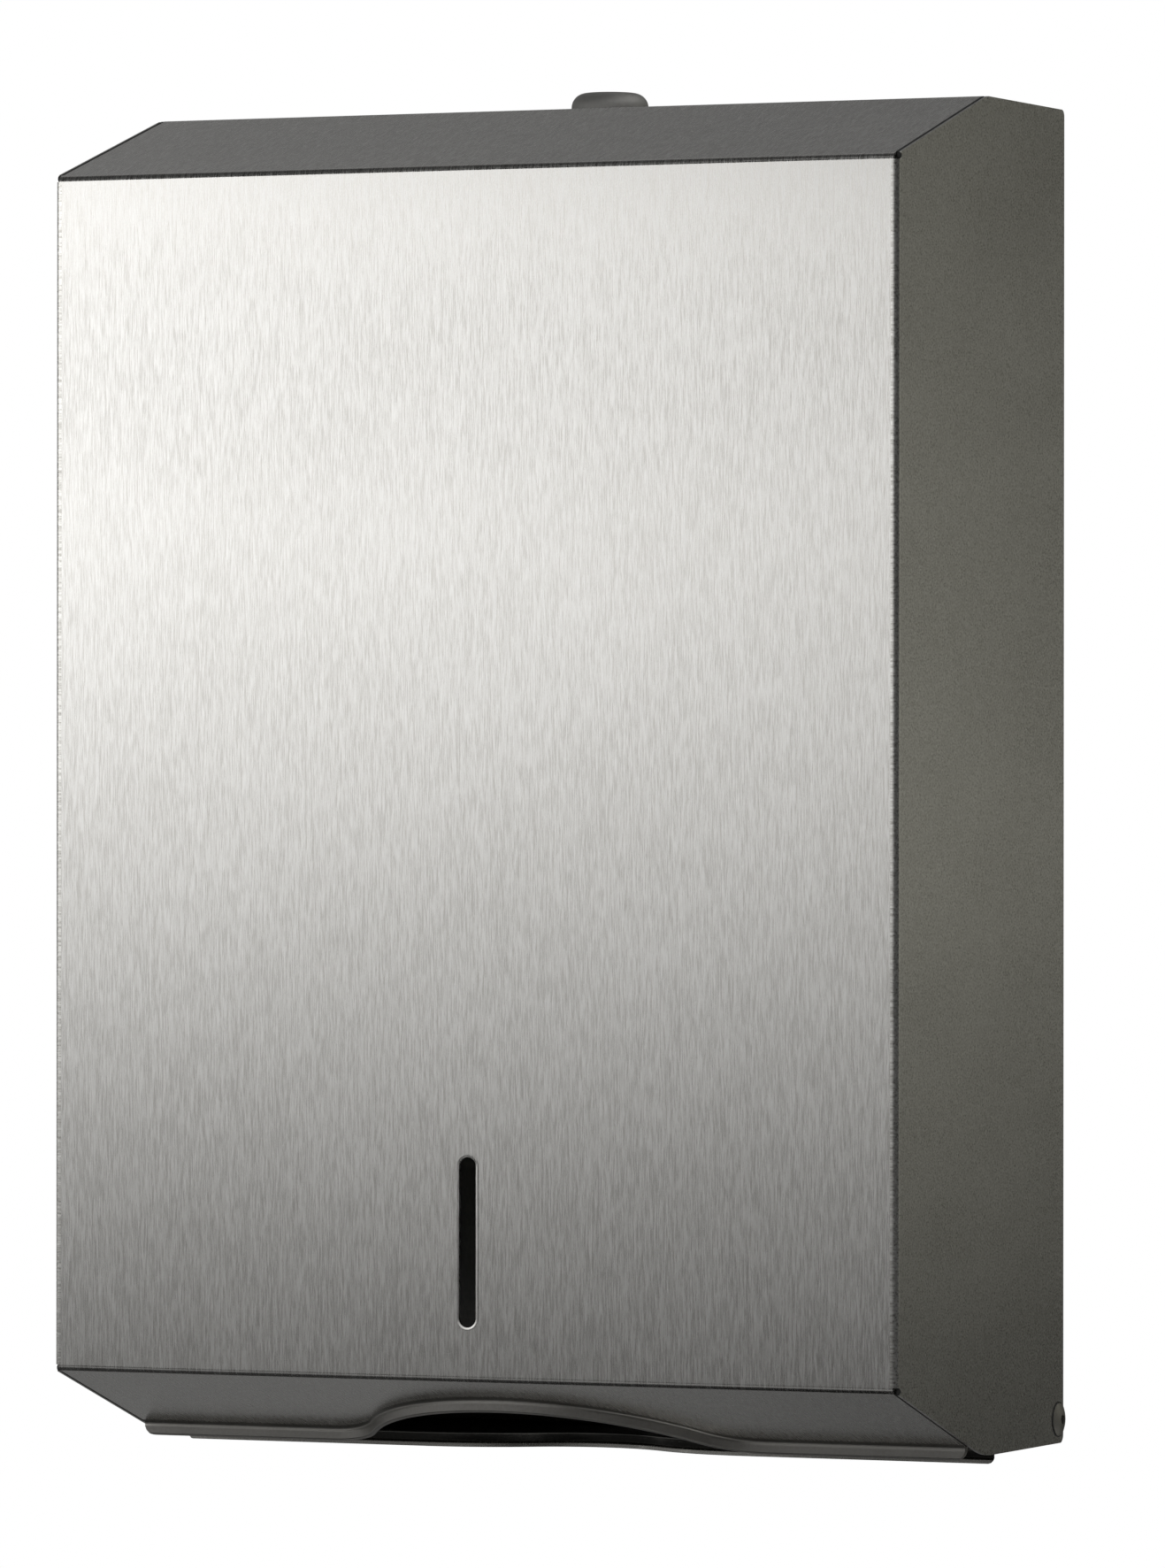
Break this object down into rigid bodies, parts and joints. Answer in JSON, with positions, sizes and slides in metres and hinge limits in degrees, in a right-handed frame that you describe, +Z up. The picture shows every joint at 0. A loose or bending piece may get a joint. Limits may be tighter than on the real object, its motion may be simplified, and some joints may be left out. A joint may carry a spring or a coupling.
{
  "type": "paper towel dispenser",
  "caption": "Wall-hung folded-sheet dispenser for paper towels: a bottom-hinged stainless cover with sight slot, scooped lip and top cam lock, over a back plate with towel tray.",
  "frame": {"origin": "centre of the four wall holes, on the wall plane at the back of the back plate", "axes": "+Z up along the height, +Y into the wall, the front faces -Y, +X to the right seen from the front"},
  "size_m": [0.268, 0.1342, 0.3975],
  "materials": {
    "cover_sheet": "brushed stainless sheet, grain upright",
    "plate_sheet": "plain satin stainless sheet",
    "tray_sheet": "brushed stainless sheet",
    "lock_chrome": "polished chrome plating on zinc",
    "plug_chrome": "satin chrome plating on zinc",
    "wafer_brass": "stamped brass",
    "zinc_steel": "bright zinc plating on steel",
    "rivet_steel": "plain stainless rivet",
    "mandrel_steel": "dull steel with a broken end",
    "spacer_nylon": "natural nylon",
    "bumper_rubber": "matt black rubber"
  },
  "bodies": {
    "back": {"back_plate": "plate_sheet", "towel_tray": "tray_sheet", "lock_keeper": "zinc_steel", "keeper_studs": "zinc_steel", "keeper_nuts": "zinc_steel", "hinge_rivet_right": "rivet_steel", "rivet_mandrel_right": "mandrel_steel", "hinge_spacer_right": "spacer_nylon", "hinge_backing_washer_right": "zinc_steel", "cover_bumper_right": "bumper_rubber", "hinge_rivet_left": "rivet_steel", "rivet_mandrel_left": "mandrel_steel", "hinge_spacer_left": "spacer_nylon", "hinge_backing_washer_left": "zinc_steel", "cover_bumper_left": "bumper_rubber"},
    "cover": {"cover_wrap": "cover_sheet", "cover_lip": "cover_sheet", "cover_side_right": "cover_sheet", "cover_side_left": "cover_sheet", "lock_housing": "lock_chrome", "lock_nut": "zinc_steel", "lock_tooth_washer": "zinc_steel"},
    "lock": {"lock_plug": "plug_chrome", "lock_wafers": "wafer_brass", "cam_stop_washer": "zinc_steel", "lock_cam": "zinc_steel", "cam_spring_washer": "zinc_steel", "cam_screw": "zinc_steel"}
  },
  "joints": [
    {"name": "cover_hinge", "type": "hinge", "parent": "back", "child": "cover", "pos_m": [0, -0.0084, -0.18805], "axis": [1, 0, 0], "range_deg": [0, 88]},
    {"name": "lock_turn", "type": "hinge", "parent": "cover", "child": "lock", "pos_m": [0, -0.03341, 0.17], "axis": [0, 0, -1], "range_deg": [0, 90]}
  ]
}
